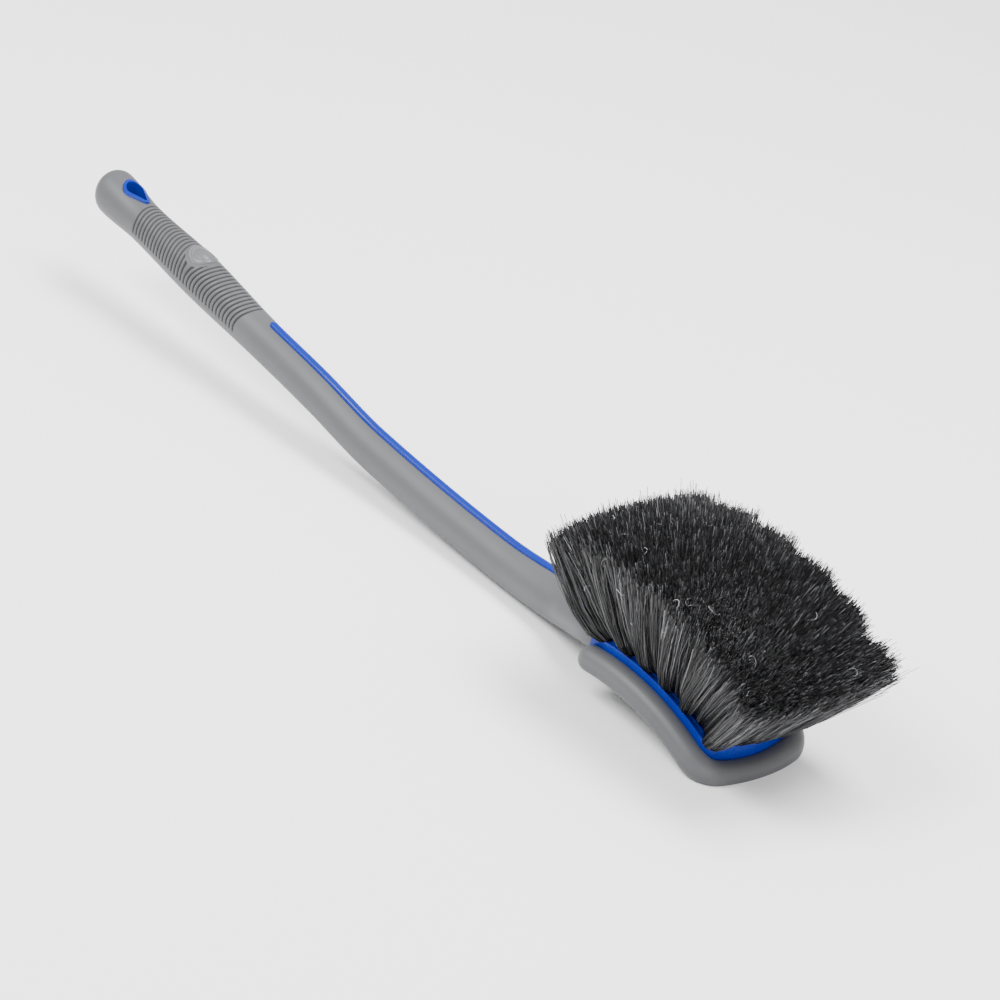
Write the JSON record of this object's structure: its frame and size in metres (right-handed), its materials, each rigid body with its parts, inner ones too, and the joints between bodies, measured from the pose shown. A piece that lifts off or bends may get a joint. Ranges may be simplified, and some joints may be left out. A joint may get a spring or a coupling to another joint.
{
  "type": "wheel brush",
  "caption": "Long-handled wheel brush: slim two-colour handle with ribbed grip and hanging eye, arched head with a soft bumper, dense fanned tufts.",
  "frame": {"origin": "centre of the whole brush's box, on the surface the brush lies on, back down and bristles up", "axes": "+X from the butt of the grip to the tip of the head, +Z away from the surface on the bristle side, Y across the head"},
  "size_m": [0.5414, 0.0952, 0.0861],
  "materials": {
    "blue_plastic": "glossy injection-moulded plastic",
    "grey_rubber": "satin soft-touch overmould",
    "badge_rubber": "satin, plain",
    "black_bristle": "fine black filament, flagged tips",
    "anchor_steel": "bright flat wire"
  },
  "bodies": {
    "root": {"handle_core": "blue_plastic", "tuft_block": "blue_plastic", "handle_overmould": "grey_rubber", "head_bumper": "grey_rubber", "grip_badge": "badge_rubber", "anchor_row_01": "anchor_steel", "tuft_row_01": "black_bristle", "anchor_row_02": "anchor_steel", "tuft_row_02": "black_bristle", "anchor_row_03": "anchor_steel", "tuft_row_03": "black_bristle", "anchor_row_04": "anchor_steel", "tuft_row_04": "black_bristle", "anchor_row_05": "anchor_steel", "tuft_row_05": "black_bristle", "anchor_row_06": "anchor_steel", "tuft_row_06": "black_bristle", "anchor_row_07": "anchor_steel", "tuft_row_07": "black_bristle", "anchor_row_08": "anchor_steel", "tuft_row_08": "black_bristle", "anchor_row_09": "anchor_steel", "tuft_row_09": "black_bristle", "anchor_row_10": "anchor_steel", "tuft_row_10": "black_bristle", "anchor_row_11": "anchor_steel", "tuft_row_11": "black_bristle"}
  },
  "joints": []
}
